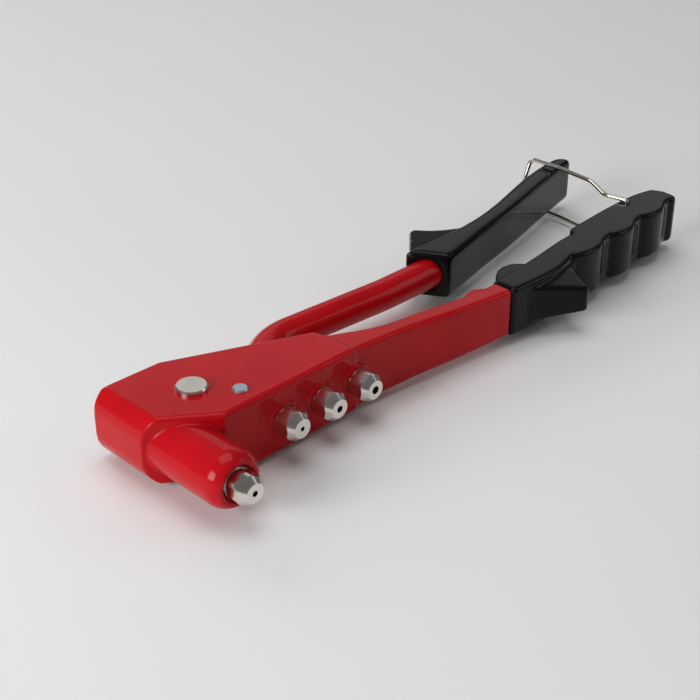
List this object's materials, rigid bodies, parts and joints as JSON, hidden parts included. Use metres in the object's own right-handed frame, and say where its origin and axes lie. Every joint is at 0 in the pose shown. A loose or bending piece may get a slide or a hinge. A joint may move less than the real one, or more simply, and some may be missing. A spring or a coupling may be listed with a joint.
{
  "type": "hand riveter",
  "caption": "Squeeze-handle tool for setting blind rivets, with a cast head and barrel, a hinged lever, moulded grips, a wire latch and screw-in nosepieces.",
  "frame": {"origin": "under the middle of the tool, on the surface it lies on", "axes": "+X along the handles, away from the head; +Z along the pivot pin, up from the surface; the nosepiece in use points along -Y"},
  "size_m": [0.273, 0.0926, 0.0286],
  "materials": {
    "red_enamel": "glossy enamel",
    "black_pvc": "glossy moulded",
    "bright_nickel": "bright nickel plate",
    "zinc_plate": "zinc plate",
    "plain_steel": "turned",
    "hard_steel": "hardened, dark",
    "spring_wire": "drawn wire"
  },
  "bodies": {
    "tool_body": {"head_casting": "red_enamel", "pivot_pin": "bright_nickel", "pivot_washer": "bright_nickel", "stop_rivet": "zinc_plate", "fixed_grip": "black_pvc", "barrel_insert": "plain_steel", "rear_plug": "bright_nickel", "return_spring": "spring_wire"},
    "moving_handle": {"lever": "red_enamel", "moving_grip": "black_pvc"},
    "jaw_carrier": {"jaw_case": "plain_steel", "pull_spool": "plain_steel", "mandrel_tube": "plain_steel", "pusher_spring": "spring_wire"},
    "jaw_set": {"jaw_1": "hard_steel", "jaw_2": "hard_steel", "jaw_3": "hard_steel", "jaw_pusher": "plain_steel"},
    "wire_bail": {"bail": "spring_wire"},
    "nosepiece_in_use": {"nosepiece_fitted": "bright_nickel"},
    "stored_nosepiece_1": {"spare_nosepiece_1": "bright_nickel"},
    "stored_nosepiece_2": {"spare_nosepiece_2": "bright_nickel"},
    "stored_nosepiece_3": {"spare_nosepiece_3": "bright_nickel"}
  },
  "joints": [
    {"name": "handle_pivot", "type": "hinge", "parent": "tool_body", "child": "moving_handle", "pos_m": [-0.1123, -0.00126, 0.0143], "axis": [0, 0, 1], "range_deg": [-4.5, 31.5]},
    {"name": "jaw_slide", "type": "slide", "parent": "tool_body", "child": "jaw_carrier", "axis": [0, 1, 0], "range_m": [-0.0072, 0.0011], "deforming": ["return_spring"]},
    {"name": "jaw_release", "type": "slide", "parent": "jaw_carrier", "child": "jaw_set", "axis": [0, 1, 0], "range_m": [0, 0.0015], "stiffness_N_per_m": 200, "springref_m": -0.002, "deforming": ["pusher_spring"]},
    {"name": "bail_swing", "type": "hinge", "parent": "tool_body", "child": "wire_bail", "pos_m": [0.1132, -0.01226, 0.0143], "axis": [0, 0, -1], "range_deg": [0, 110]},
    {"name": "nosepiece_unscrew", "type": "slide", "parent": "tool_body", "child": "nosepiece_in_use", "axis": [0, -1, 0], "range_m": [0, 0.012]},
    {"name": "spare_1_unscrew", "type": "slide", "parent": "tool_body", "child": "stored_nosepiece_1", "axis": [0, -1, 0], "range_m": [0, 0.012]},
    {"name": "spare_2_unscrew", "type": "slide", "parent": "tool_body", "child": "stored_nosepiece_2", "axis": [0, -1, 0], "range_m": [0, 0.012]},
    {"name": "spare_3_unscrew", "type": "slide", "parent": "tool_body", "child": "stored_nosepiece_3", "axis": [0, -1, 0], "range_m": [0, 0.012]}
  ],
  "couplings": [
    {"joint": "jaw_slide", "follows": "handle_pivot", "m_per_rad": -0.01284}
  ]
}
